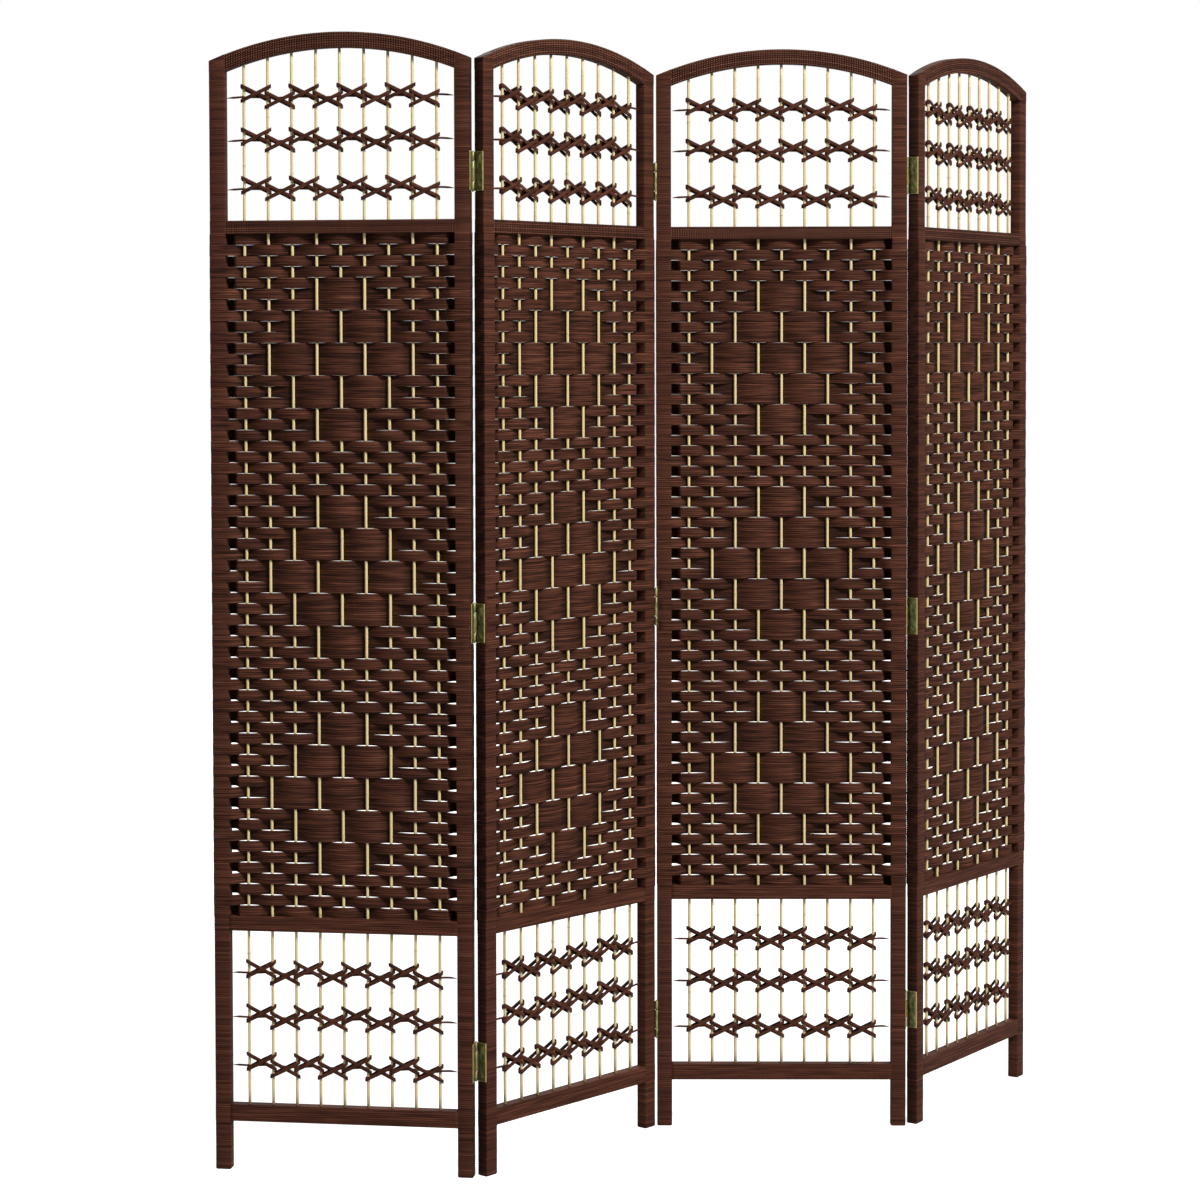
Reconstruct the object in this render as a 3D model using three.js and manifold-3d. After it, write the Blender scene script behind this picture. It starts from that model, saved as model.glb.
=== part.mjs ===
// A four-leaf folding screen: timber frames wound with dark paper fibre, arched at the top.
// Each leaf carries nine bamboo canes through its rails. Crossed strands tie the canes in the
// open lattices, and a mat of flat paper strips is woven round them and round both stiles.
// Three butt hinges join each pair of leaves. Millimetres, +Z up, X along the screen, +Y to its back.
import * as THREE from "three";
import { mergeVertices } from "three/addons/utils/BufferGeometryUtils.js";
import Module from "manifold-3d";

// The leaf, seen from its front: x from its left edge, y from its front face, z from the floor.
const LEAF_COUNT = 4;
const LEAF_WIDTH = 392;
const LEAF_HEIGHT = 1700; // floor to the top of the arch
const THICKNESS = 18;
const STILE_WIDTH = 22.5;
const ARCH_RISE = 40; // from the leaf's outer corners up to the arch's top
const ARCH_DEPTH = 23.5; // of the arched rail, measured along the radius
const FOOT_HEIGHT = 74; // the legs below the bottom rail
const FOOT_CHAMFER = 1.5;
const BOTTOM_RAIL_HEIGHT = 25;
const LOWER_OPENING = 262.5; // between the bottom rail and the lower rail
const LOWER_RAIL_HEIGHT = 21.5;
const MAT_HEIGHT = 1020; // between the lower rail and the upper rail
const UPPER_RAIL_HEIGHT = 20;

// The canes, and the strands that cross between them.
const CANE_COUNT = 9;
const CANE_RADIUS = 2;
const CANE_PITCH = 36.4;
const CANE_HOLE_RADIUS = 2.35;
const CANE_SIDES = 6;
const SOCKET_DEPTH = 12; // how far a cane stands in the bottom rail and in the arch
const STRAND_WIDTH = 4;
const STRAND_THICKNESS = 2.4;
const STRAND_SWING = 8; // a strand's centre line, above or below its row at a cane
const LOWER_ROWS = [59, 132, 199]; // heights above the bottom rail
const UPPER_ROWS = [47, 119, 183]; // heights above the upper rail

// The woven mat, with the wraps that carry it round the stiles.
const MAT_THICKNESS = 8;
const WRAP_THICKNESS = 1;

// The hinges. The pin stands PIN_OUT proud of the faces that the leaves fold towards.
const FOLD_ANGLES = [57.5, 50, 57.5]; // turned out of line between neighbours, as photographed
const PINS_AT_BACK = [true, false, true];
const LEAF_GAP = 3.2; // between two leaves in line
const PIN_OUT = 2.2;
// How high the centres of each line's hinges are. The last line is screwed on a little differently.
const HINGE_HEIGHTS = [
  { lower: 171, middle: 826, upper: 1493.5 },
  { lower: 171, middle: 826, upper: 1493.5 },
  { lower: 183, middle: 809, upper: 1503 },
];
const HINGE_LENGTH = 58;
const MIDDLE_KNUCKLE = 29;
const KNUCKLE_RADIUS = 2.3;
const KNUCKLE_GAP = 0.4;
const PLATE_THICKNESS = 1.1;
const PIN_RADIUS = 1;
const PIN_BORE = 1.1;
const PIN_HEAD = { radius: 1.9, height: 1 };
const SCREW = { radius: 2.3, proud: 0.25, offset: 21.5 };
const ROUND_SIDES = 8;

const GAP = 0.3; // left between pieces that touch on the real screen
const OVERLAP = 0.4; // how far a strand sinks into the cane that it is tied to

// Heights worked out from the leaf's members, from the floor up.
const BOTTOM_RAIL_TOP = FOOT_HEIGHT + BOTTOM_RAIL_HEIGHT;
const LOWER_RAIL_BASE = BOTTOM_RAIL_TOP + LOWER_OPENING;
const MAT_BASE = LOWER_RAIL_BASE + LOWER_RAIL_HEIGHT;
const MAT_TOP = MAT_BASE + MAT_HEIGHT;
const UPPER_RAIL_TOP = MAT_TOP + UPPER_RAIL_HEIGHT;

// The arch is an arc through the outer corners, so its radius follows from its chord and rise.
const ARCH_RADIUS = (LEAF_WIDTH ** 2 / 4 + ARCH_RISE ** 2) / (2 * ARCH_RISE);
const ARCH_CENTRE_Z = LEAF_HEIGHT - ARCH_RADIUS;
const ARCH_INNER_RADIUS = ARCH_RADIUS - ARCH_DEPTH;

const MIDDLE = { x: LEAF_WIDTH / 2, y: THICKNESS / 2 };

const fibre = new THREE.MeshStandardMaterial({ color: 0x4a2a20, roughness: 0.85, metalness: 0 });
const woven = new THREE.MeshStandardMaterial({ color: 0x55301f, roughness: 0.9, metalness: 0 });
const bamboo = new THREE.MeshStandardMaterial({ color: 0xdcc795, roughness: 0.6, metalness: 0 });
const brass = new THREE.MeshStandardMaterial({ color: 0x7d7340, roughness: 0.45, metalness: 0.8 });

const wasm = await Module();
wasm.setup();

// Turns a closed three.js geometry into a solid that can be joined and cut.
function solid(geometry) {
  const bare = geometry.index ? geometry.toNonIndexed() : geometry.clone();
  bare.deleteAttribute("normal");
  bare.deleteAttribute("uv");
  const merged = mergeVertices(bare, 1e-4);
  const vertProperties = merged.attributes.position.array;
  const triVerts = new Uint32Array(merged.index.array);
  return new wasm.Manifold(new wasm.Mesh({ numProp: 3, vertProperties, triVerts }));
}

const join = (pieces) => pieces.map(solid).reduce((whole, next) => whole.add(next));
const cut = (whole, tools) => tools.map(solid).reduce((rest, tool) => rest.subtract(tool), whole);

// Turns a solid back into a geometry with one flat normal to each face.
function geometryOf(shape) {
  const mesh = shape.getMesh();
  const corners = new THREE.BufferAttribute(mesh.vertProperties, mesh.numProp);
  const shared = new THREE.BufferGeometry().setAttribute("position", corners);
  shared.setIndex(new THREE.BufferAttribute(mesh.triVerts, 1));
  const faces = shared.toNonIndexed();
  faces.computeVertexNormals();
  return faces;
}

function meshOf(name, shape, material) {
  const mesh = new THREE.Mesh(geometryOf(shape), material);
  mesh.name = name;
  return mesh;
}

// A box between two opposite corners.
function block([x0, y0, z0], [x1, y1, z1]) {
  const box = new THREE.BoxGeometry(x1 - x0, y1 - y0, z1 - z0);
  return box.translate((x0 + x1) / 2, (y0 + y1) / 2, (z0 + z1) / 2);
}

// An upright round rod.
function rod(x, y, radius, z0, z1, sides) {
  const cylinder = new THREE.CylinderGeometry(radius, radius, z1 - z0, sides);
  return cylinder.rotateX(Math.PI / 2).translate(x, y, (z0 + z1) / 2);
}

// A board as thick as the frame, cut to an outline drawn on its front face.
function board(outline) {
  const settings = { depth: THICKNESS, bevelEnabled: false, curveSegments: 12 };
  const upright = new THREE.ExtrudeGeometry(outline, settings).rotateX(Math.PI / 2);
  return upright.translate(0, THICKNESS, 0);
}

const archHeight = (x) => ARCH_CENTRE_Z + Math.sqrt(ARCH_RADIUS ** 2 - (x - MIDDLE.x) ** 2);

// A stile stands on a chamfered foot, and its top follows the arch.
function stile(x) {
  const outline = new THREE.Shape();
  outline.moveTo(x + FOOT_CHAMFER, 0);
  outline.lineTo(x + STILE_WIDTH - FOOT_CHAMFER, 0);
  outline.lineTo(x + STILE_WIDTH, FOOT_CHAMFER);
  outline.lineTo(x + STILE_WIDTH, archHeight(x + STILE_WIDTH));
  outline.lineTo(x + STILE_WIDTH / 2, archHeight(x + STILE_WIDTH / 2));
  outline.lineTo(x, archHeight(x));
  outline.lineTo(x, FOOT_CHAMFER);
  return solid(board(outline));
}

const caneX = (cane) => MIDDLE.x + (cane - (CANE_COUNT - 1) / 2) * CANE_PITCH;
const canes = Array.from({ length: CANE_COUNT }, (_, cane) => cane);

// The holes that the canes run through, one for each, from z0 up to z1.
function caneHoles(z0, z1) {
  return canes.map((cane) => rod(caneX(cane), MIDDLE.y, CANE_HOLE_RADIUS, z0, z1, CANE_SIDES));
}

// A straight rail between the stiles, drilled for the canes from holeBase up to holeTop.
function rail(base, top, holeBase, holeTop) {
  const start = [STILE_WIDTH + GAP, 0, base];
  const end = [LEAF_WIDTH - STILE_WIDTH - GAP, THICKNESS, top];
  return cut(solid(block(start, end)), caneHoles(holeBase, holeTop));
}

const innerArchHeight = (x) =>
  ARCH_CENTRE_Z + Math.sqrt(ARCH_INNER_RADIUS ** 2 - (x - MIDDLE.x) ** 2);

// The arched rail is a slice of a ring, cut upright where it meets the stiles.
function archRail() {
  const reach = MIDDLE.x - STILE_WIDTH - GAP;
  const inner = Math.asin(reach / ARCH_INNER_RADIUS);
  const outer = Math.asin(reach / ARCH_RADIUS);
  const up = Math.PI / 2;
  const outline = new THREE.Shape();
  outline.absarc(MIDDLE.x, ARCH_CENTRE_Z, ARCH_RADIUS, up - outer, up + outer);
  outline.absarc(MIDDLE.x, ARCH_CENTRE_Z, ARCH_INNER_RADIUS, up + inner, up - inner, true);
  const sockets = canes.map((cane) => {
    const mouth = innerArchHeight(caneX(cane));
    const [low, high] = [mouth - SOCKET_DEPTH, mouth + SOCKET_DEPTH + GAP];
    return rod(caneX(cane), MIDDLE.y, CANE_HOLE_RADIUS, low, high, CANE_SIDES);
  });
  return cut(solid(board(outline)), sockets);
}

// One strand of a row: a flat strip that zigzags from cane to cane, in front of them or behind.
// It is tied to some canes, so it sinks into those, and just clears the others.
function strand(rowHeight, side, firstStep, isTied) {
  const sections = canes.map((cane) => {
    const z = rowHeight + STRAND_SWING * firstStep * (-1) ** cane;
    const nearest = isTied(cane) ? CANE_RADIUS - OVERLAP : CANE_RADIUS + GAP;
    const y0 = MIDDLE.y + side * nearest;
    const y1 = y0 + side * STRAND_THICKNESS;
    const [low, high] = [z - STRAND_WIDTH / 2, z + STRAND_WIDTH / 2];
    const [front, back] = [Math.min(y0, y1), Math.max(y0, y1)];
    return [[front, low], [back, low], [back, high], [front, high]].map(([y, h]) => [caneX(cane), y, h]);
  });
  return loft(sections);
}

// A closed bar through four-cornered sections, each a quarter turn of corners as seen from its start.
function loft(sections) {
  const corners = sections.flat(2);
  const last = 4 * (sections.length - 1);
  const faces = [0, 2, 1, 0, 3, 2, last, last + 1, last + 2, last, last + 2, last + 3];
  for (let first = 0; first < last; first += 4) {
    for (let corner = 0; corner < 4; corner += 1) {
      const [a, b] = [first + corner, first + ((corner + 1) % 4)];
      faces.push(a, b, b + 4, a, b + 4, a + 4);
    }
  }
  const bar = new THREE.BufferGeometry();
  bar.setAttribute("position", new THREE.Float32BufferAttribute(corners, 3));
  return bar.setIndex(faces);
}

// The canes with all their strand rows. The front strand of each row is tied to the last cane
// and to every sixth, and the back one to the first, so that every cane is held once or more.
function caneLattice() {
  const base = BOTTOM_RAIL_TOP - SOCKET_DEPTH;
  const rods = canes.map((cane) => {
    const top = innerArchHeight(caneX(cane)) + SOCKET_DEPTH - GAP;
    return rod(caneX(cane), MIDDLE.y, CANE_RADIUS, base, top, CANE_SIDES);
  });
  const lower = LOWER_ROWS.map((height) => BOTTOM_RAIL_TOP + height);
  const upper = UPPER_ROWS.map((height) => UPPER_RAIL_TOP + height);
  const rows = [...lower, ...upper].flatMap((height, row) => [
    strand(height, -1, 1, (cane) => cane === CANE_COUNT - 1 || cane % 6 === row),
    strand(height, 1, -1, (cane) => cane === 0),
  ]);
  return join([...rods, ...rows]);
}

// The mat's strips wrap the whole stile, close round it.
function wrap(x) {
  const [near, far] = [GAP, GAP + WRAP_THICKNESS];
  const [base, top] = [MAT_BASE + GAP, MAT_TOP - GAP];
  const right = x + STILE_WIDTH;
  const outside = block([x - far, -far, base], [right + far, THICKNESS + far, top]);
  const inside = block([x - near, -near, base - 1], [right + near, THICKNESS + near, top + 1]);
  return cut(solid(outside), [inside]);
}

// The wrap stops short above and below a hinge, whose plate lies on the bare stile.
function hingeWindow({ x, height }) {
  const reach = HINGE_LENGTH / 2 + PIN_HEAD.height + 2 * GAP;
  const edge = x === 0 ? [-3, 1.5] : [x - 1.5, x + 3];
  return block([edge[0], -3, height - reach], [edge[1], THICKNESS + 3, height + reach]);
}

// The woven mat between the stiles, with a channel for each cane.
function wovenMat(hingedEdges) {
  const half = MAT_THICKNESS / 2;
  const start = [STILE_WIDTH + GAP + WRAP_THICKNESS / 2, MIDDLE.y - half, MAT_BASE + GAP];
  const end = [LEAF_WIDTH - start[0], MIDDLE.y + half, MAT_TOP - GAP];
  const wraps = [wrap(0), wrap(LEAF_WIDTH - STILE_WIDTH)];
  const whole = wraps.reduce((mat, next) => mat.add(next), solid(block(start, end)));
  return cut(whole, [...caneHoles(MAT_BASE, MAT_TOP), ...hingedEdges.map(hingeWindow)]);
}

// One leaf of the screen, in its own frame.
function leaf(number) {
  const hingedEdges = [];
  if (number > 1) hingedEdges.push({ x: 0, height: HINGE_HEIGHTS[number - 2].middle });
  if (number < LEAF_COUNT) {
    hingedEdges.push({ x: LEAF_WIDTH, height: HINGE_HEIGHTS[number - 1].middle });
  }
  const socketBase = BOTTOM_RAIL_TOP - SOCKET_DEPTH - GAP;
  const bottomRail = rail(FOOT_HEIGHT, BOTTOM_RAIL_TOP, socketBase, BOTTOM_RAIL_TOP + 1);
  const lowerRail = rail(LOWER_RAIL_BASE, MAT_BASE, LOWER_RAIL_BASE - 1, MAT_BASE + 1);
  const upperRail = rail(MAT_TOP, UPPER_RAIL_TOP, MAT_TOP - 1, UPPER_RAIL_TOP + 1);
  const pieces = [
    ["stile_left", stile(0), fibre],
    ["stile_right", stile(LEAF_WIDTH - STILE_WIDTH), fibre],
    ["arch_rail", archRail(), fibre],
    ["upper_rail", upperRail, fibre],
    ["lower_rail", lowerRail, fibre],
    ["bottom_rail", bottomRail, fibre],
    ["cane_lattice", caneLattice(), bamboo],
    ["woven_mat", wovenMat(hingedEdges), woven],
  ];
  const group = new THREE.Group();
  pieces.forEach(([name, shape, material]) => {
    group.add(meshOf(`panel_${number}_${name}`, shape, material));
  });
  return group;
}

// The hinge's own frame has the pin on its Z axis. Its plate lies at negative x on a stile's edge,
// and reaches into the thickness at negative y. The knuckles are given as spans of height.
function hingePlate(knuckles) {
  const half = HINGE_LENGTH / 2;
  const back = -LEAF_GAP / 2 + GAP / 2;
  const face = back + PLATE_THICKNESS;
  const rim = -KNUCKLE_RADIUS - KNUCKLE_GAP;
  const far = -PIN_OUT - THICKNESS + GAP;
  const plate = block([back, far, -half], [face, rim, half]);
  const webs = knuckles.map(([low, high]) => block([back, rim - 1, low], [face, 0, high]));
  const barrels = knuckles.map(([low, high]) => rod(0, 0, KNUCKLE_RADIUS, low, high, ROUND_SIDES));
  const screws = [-SCREW.offset, SCREW.offset].map((height) => screwHead(face, (far + rim) / 2, height));
  const bore = rod(0, 0, PIN_BORE, -half - 1, half + 1, ROUND_SIDES);
  return cut(join([plate, ...webs, ...barrels, ...screws]), [bore]);
}

// A screw's head, a little proud of the plate that it holds.
function screwHead(face, y, z) {
  const length = SCREW.proud + PLATE_THICKNESS / 2;
  const { radius } = SCREW;
  const head = new THREE.CylinderGeometry(radius * 0.8, radius, length, ROUND_SIDES);
  return head.rotateZ(-Math.PI / 2).translate(face + SCREW.proud - length / 2, y, z);
}

function hingePin() {
  const half = HINGE_LENGTH / 2 + GAP;
  const shank = rod(0, 0, PIN_RADIUS, -half - 0.5, half + 0.5, ROUND_SIDES);
  const heads = [-1, 1].map((end) => {
    const [near, far] = [end * half, end * (half + PIN_HEAD.height)];
    return rod(0, 0, PIN_HEAD.radius, Math.min(near, far), Math.max(near, far), ROUND_SIDES);
  });
  return join([shank, ...heads]);
}

const OUTER_KNUCKLES = [
  [-HINGE_LENGTH / 2, -MIDDLE_KNUCKLE / 2 - KNUCKLE_GAP],
  [MIDDLE_KNUCKLE / 2 + KNUCKLE_GAP, HINGE_LENGTH / 2],
];
const INNER_KNUCKLE = [[-MIDDLE_KNUCKLE / 2, MIDDLE_KNUCKLE / 2]];

// A plate for the other leaf is the same plate turned over, and turned back by the fold.
function turnedPlate(knuckles) {
  return hingePlate(knuckles).rotate([0, 180, 0]);
}

const radians = THREE.MathUtils.degToRad;

// Where a leaf stands in the plan of the screen: its front left corner and its turn about Z.
function placeLeaves() {
  const places = [{ corner: new THREE.Vector2(0, 0), turn: 0 }];
  const pins = [];
  FOLD_ANGLES.forEach((fold, joint) => {
    const { corner, turn } = places[joint];
    const pinY = PINS_AT_BACK[joint] ? THICKNESS + PIN_OUT : -PIN_OUT;
    const nextTurn = PINS_AT_BACK[joint] ? turn + fold : turn - fold;
    const toPin = new THREE.Vector2(LEAF_WIDTH + LEAF_GAP / 2, pinY);
    const pin = toPin.rotateAround(new THREE.Vector2(), radians(turn)).add(corner);
    const toCorner = new THREE.Vector2(LEAF_GAP / 2, -pinY);
    const nextCorner = toCorner.rotateAround(new THREE.Vector2(), radians(nextTurn)).add(pin);
    places.push({ corner: nextCorner, turn: nextTurn });
    pins.push({ place: pin, turns: [turn, nextTurn], atBack: PINS_AT_BACK[joint] });
  });
  return { places, pins };
}

function turnedGroup(place, turn) {
  const group = new THREE.Group();
  group.position.set(place.x, place.y, 0);
  group.rotation.z = radians(turn);
  return group;
}

// The three hinges on one line of pins. A pin at the front takes the same hinge turned half round,
// so that the plate with two knuckles is then on the right leaf.
function hingeLine(pin, joint) {
  const [leftTurn, rightTurn] = pin.turns;
  const outer = turnedGroup(pin.place, pin.atBack ? leftTurn : rightTurn + 180);
  const inner = turnedGroup(pin.place, pin.atBack ? rightTurn : leftTurn + 180);
  const [outerSide, innerSide] = pin.atBack ? ["left", "right"] : ["right", "left"];
  Object.entries(HINGE_HEIGHTS[joint]).forEach(([level, height]) => {
    const name = `hinge_${joint + 1}_${joint + 2}_${level}`;
    const plate = meshOf(`${name}_plate_${outerSide}`, hingePlate(OUTER_KNUCKLES), brass);
    const facing = meshOf(`${name}_plate_${innerSide}`, turnedPlate(INNER_KNUCKLE), brass);
    const pinMesh = meshOf(`${name}_pin`, hingePin(), brass);
    outer.add(plate, pinMesh);
    inner.add(facing);
    [plate, facing, pinMesh].forEach((mesh) => mesh.position.setZ(height));
  });
  return [outer, inner];
}

// The screen as it stands: turned so that its two halves mirror each other about X = 0,
// with the middle of its depth on Y = 0.
function foldingScreen() {
  const { places, pins } = placeLeaves();
  const screen = new THREE.Group();
  screen.rotation.z = -radians(FOLD_ANGLES[0] - FOLD_ANGLES[1] / 2);
  places.forEach(({ corner, turn }, index) => {
    const group = turnedGroup(corner, turn);
    group.add(leaf(index + 1));
    screen.add(group);
  });
  pins.forEach((pin, joint) => screen.add(...hingeLine(pin, joint)));
  const bounds = new THREE.Box3().setFromObject(screen, true);
  const middle = bounds.getCenter(new THREE.Vector3());
  screen.position.set(-middle.x, -middle.y, 0);
  const root = new THREE.Group();
  return root.add(screen);
}

export default foldingScreen();
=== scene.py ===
# %% [markdown]
# # A woven folding screen
# Four leaves of dark paper fibre stand in a zigzag. Each one is a timber frame wound with fibre,
# with nine thin bamboo canes through its rails, a woven field in the middle, and an open lattice
# at the top and at the bottom. The measured solids of the screen are the frame that we build on,
# so this lesson only makes the finish: every strip, winding, cane, tie and hinge that shows.

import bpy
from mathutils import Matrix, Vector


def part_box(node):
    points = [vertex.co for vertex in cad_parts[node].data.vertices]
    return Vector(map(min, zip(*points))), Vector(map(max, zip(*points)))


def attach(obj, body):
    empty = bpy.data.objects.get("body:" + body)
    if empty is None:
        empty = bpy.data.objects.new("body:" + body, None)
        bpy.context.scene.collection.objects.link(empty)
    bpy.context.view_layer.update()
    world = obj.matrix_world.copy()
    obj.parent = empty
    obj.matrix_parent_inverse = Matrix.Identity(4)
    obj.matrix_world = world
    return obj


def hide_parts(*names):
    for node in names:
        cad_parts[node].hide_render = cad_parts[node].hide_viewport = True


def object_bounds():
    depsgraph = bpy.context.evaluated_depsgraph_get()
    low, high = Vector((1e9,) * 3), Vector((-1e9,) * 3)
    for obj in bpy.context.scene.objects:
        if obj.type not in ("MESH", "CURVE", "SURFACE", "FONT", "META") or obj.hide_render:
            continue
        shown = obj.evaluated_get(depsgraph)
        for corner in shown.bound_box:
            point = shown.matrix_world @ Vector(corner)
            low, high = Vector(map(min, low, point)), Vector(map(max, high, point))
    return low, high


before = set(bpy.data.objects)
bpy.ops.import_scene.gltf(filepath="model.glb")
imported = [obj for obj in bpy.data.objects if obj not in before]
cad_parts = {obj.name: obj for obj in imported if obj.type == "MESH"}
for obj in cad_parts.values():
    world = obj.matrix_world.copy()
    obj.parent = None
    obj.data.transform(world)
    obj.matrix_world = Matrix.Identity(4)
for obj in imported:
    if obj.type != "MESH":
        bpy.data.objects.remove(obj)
solid_low, solid_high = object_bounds()
print("solids:", len(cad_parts), "size:", [round(side, 4) for side in solid_high - solid_low])

# %% [markdown]
# ## Measures
# The heights of the rails are read off the solids, so the finish can't drift away from them. What
# the solids' boxes don't tell, such as the pitch of the canes, is written here once, in millimetres.
# A leaf is drawn from its front: x from its left edge, y from its front face to its back, z upwards.

# %% Measures of a leaf
import math

import bpy
import numpy as np
from mathutils import Matrix, Vector

MM = 0.001
LEAVES = (1, 2, 3, 4)
LEAF_WIDTH = 392.0
THICKNESS = 18.0
STILE_WIDTH = 22.5
ARCH_RISE = 40.0
ARCH_DEPTH = 23.5
CANE_COUNT = 9
CANE_PITCH = 36.4
CANE_RADIUS = 2.2
MIDDLE_Y = THICKNESS / 2
FOLDS = (57.5, 50.0, 57.5)


def span_of(node):
    """The lowest and highest point of a solid, in millimetres."""
    low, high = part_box(node)
    return low.z / MM, high.z / MM


FOOT_HEIGHT, BOTTOM_RAIL_TOP = span_of("panel_1_bottom_rail")
LOWER_RAIL_BASE, MAT_BASE = span_of("panel_1_lower_rail")
MAT_TOP, UPPER_RAIL_TOP = span_of("panel_1_upper_rail")
LEAF_HEIGHT = solid_high.z / MM
print("rails at", [round(z, 1) for z in (FOOT_HEIGHT, BOTTOM_RAIL_TOP, LOWER_RAIL_BASE)])
print("woven field from", round(MAT_BASE, 1), "to", round(MAT_TOP, 1))

# %% [markdown]
# ## Where the leaves stand
# The leaves fold alternately to the back and to the front. The first one is turned so that the two
# halves of the zigzag mirror each other. A leaf's corner is found from the box of its left stile,
# because the stile's turn says which corner of the box it touches.

# %% Place a leaf
TURNS = [math.radians(FOLDS[1] / 2 - FOLDS[0])]
for fold, side in zip(FOLDS, (1, -1, 1)):
    TURNS.append(TURNS[-1] + side * math.radians(fold))


def leaf_place(leaf):
    """The matrix that takes a leaf's own coordinates to its place on the floor."""
    low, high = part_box(f"panel_{leaf}_stile_left")
    turn = TURNS[leaf - 1]
    if turn < 0:
        corner = (low.x, high.y - THICKNESS * MM * math.cos(turn), 0)
    else:
        corner = (low.x + THICKNESS * MM * math.sin(turn), low.y, 0)
    return Matrix.Translation(corner) @ Matrix.Rotation(turn, 4, "Z")


PLACES = {leaf: leaf_place(leaf) for leaf in LEAVES}
for leaf in LEAVES:
    corner = PLACES[leaf].translation
    print("leaf", leaf, "corner", round(corner.x, 4), round(corner.y, 4), "turn",
          round(math.degrees(TURNS[leaf - 1]), 1))

# %% [markdown]
# ## Camera
# The picture was taken from the left, a little under the screen's top, with a long lens. We could
# aim the camera at the middle of the screen, but then the stiles would lean together. A camera that
# looks nearly level keeps them upright, and what it would cut off below is brought back by shifting
# the lens, as a view camera does. It also rolls to one side, by a tenth of a degree.

# %% Set the camera
CAMERA_PLACE = (-2.0596, -4.2868, 1.2273)
CAMERA_YAW = 0.4250
CAMERA_PITCH = 0.0371
CAMERA_ROLL = -0.0020
FOCAL_PIXELS = 3054.5
PICTURE_PIXELS = 1200
AXIS_HEIGHT_PIXELS = 465
SENSOR = 36.0
FAR_END = 60

scene = bpy.context.scene
camera = bpy.data.objects.new("camera", bpy.data.cameras.new("camera"))
scene.collection.objects.link(camera)
scene.camera = camera
level = Matrix.Rotation(-CAMERA_YAW, 4, "Z") @ Matrix.Rotation(math.pi / 2 - CAMERA_PITCH, 4, "X")
camera.matrix_world = Matrix.Translation(CAMERA_PLACE) @ level @ Matrix.Rotation(CAMERA_ROLL, 4, "Z")
camera.data.sensor_width = SENSOR
camera.data.lens = FOCAL_PIXELS * SENSOR / PICTURE_PIXELS
camera.data.shift_y = AXIS_HEIGHT_PIXELS / PICTURE_PIXELS - 0.5
camera.data.clip_end = FAR_END
print("lens", round(camera.data.lens, 1), "mm, shift", round(camera.data.shift_y, 4))

# %% [markdown]
# ## Lamps
# A pale studio. One soft lamp stands in front, a little to the right and high up, so that each
# bulge of the weave shades the dip below it. A weak one stands at the left, and another behind the
# screen for whoever walks round it. A sun would be simpler, but its shadows are hard, and the size
# of an area lamp sets how soft they are.

# %% Set the lamps
scene.view_settings.view_transform = "Standard"

KEY_PLACE = (1.2, -5.0, 5.4)
KEY_SIZE = 1.5
KEY_POWER = 690
FILL_PLACE = (-3.2, -5.4, 1.6)
FILL_SIZE = 3.0
FILL_POWER = 12
BACK_PLACE = (1.6, 5.6, 4.2)
BACK_SIZE = 3.0
BACK_POWER = 240
SCREEN_MIDDLE = (0, 0, 0.85)


def add_lamp(name, place, size, power):
    """A square lamp that faces the middle of the screen."""
    lamp = bpy.data.objects.new(name, bpy.data.lights.new(name, "AREA"))
    scene.collection.objects.link(lamp)
    lamp.data.shape = "SQUARE"
    lamp.data.size = size
    lamp.data.energy = power
    lamp.location = place
    lamp.rotation_euler = (Vector(SCREEN_MIDDLE) - Vector(place)).to_track_quat("-Z", "Y").to_euler()


add_lamp("key_lamp", KEY_PLACE, KEY_SIZE, KEY_POWER)
add_lamp("fill_lamp", FILL_PLACE, FILL_SIZE, FILL_POWER)
add_lamp("back_lamp", BACK_PLACE, BACK_SIZE, BACK_POWER)
print("lamps:", [(lamp.name, lamp.energy) for lamp in bpy.data.lights])

# %% [markdown]
# ## Sky
# A white world would be the plain way to a white background, but it would also light every hollow of
# the weave. So the sky is white only where the camera or a shiny surface sees it, and dim as a
# light, and the dark fibre keeps its depth between the strips.

# %% Helpers for what is seen directly
def seen_directly(tree):
    """1 where it is seen by the camera, in a reflection or through glass, and 0 as a light."""
    path = tree.nodes.new("ShaderNodeLightPath")
    seen = path.outputs["Is Camera Ray"]
    for ray in ("Is Glossy Ray", "Is Transmission Ray"):
        either = tree.nodes.new("ShaderNodeMath")
        either.operation = "MAXIMUM"
        tree.links.new(seen, either.inputs[0])
        tree.links.new(path.outputs[ray], either.inputs[1])
        seen = either.outputs[0]
    return seen


def emptied_tree(owner):
    """The node tree of a material or a world, without nodes."""
    owner.use_nodes = True
    owner.node_tree.nodes.clear()
    return owner.node_tree


def shader_node(tree, kind, strength=None, colour=(1, 1, 1, 1)):
    node = tree.nodes.new(kind)
    node.inputs["Color"].default_value = colour
    if strength is not None:
        node.inputs["Strength"].default_value = strength
    return node.outputs[0]


def mixed(tree, factor, first, second):
    """One shader where the factor is 0, the other where it is 1."""
    mix = tree.nodes.new("ShaderNodeMixShader")
    for socket, source in zip(mix.inputs, (factor, first, second)):
        tree.links.new(source, socket)
    return mix.outputs[0]


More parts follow.
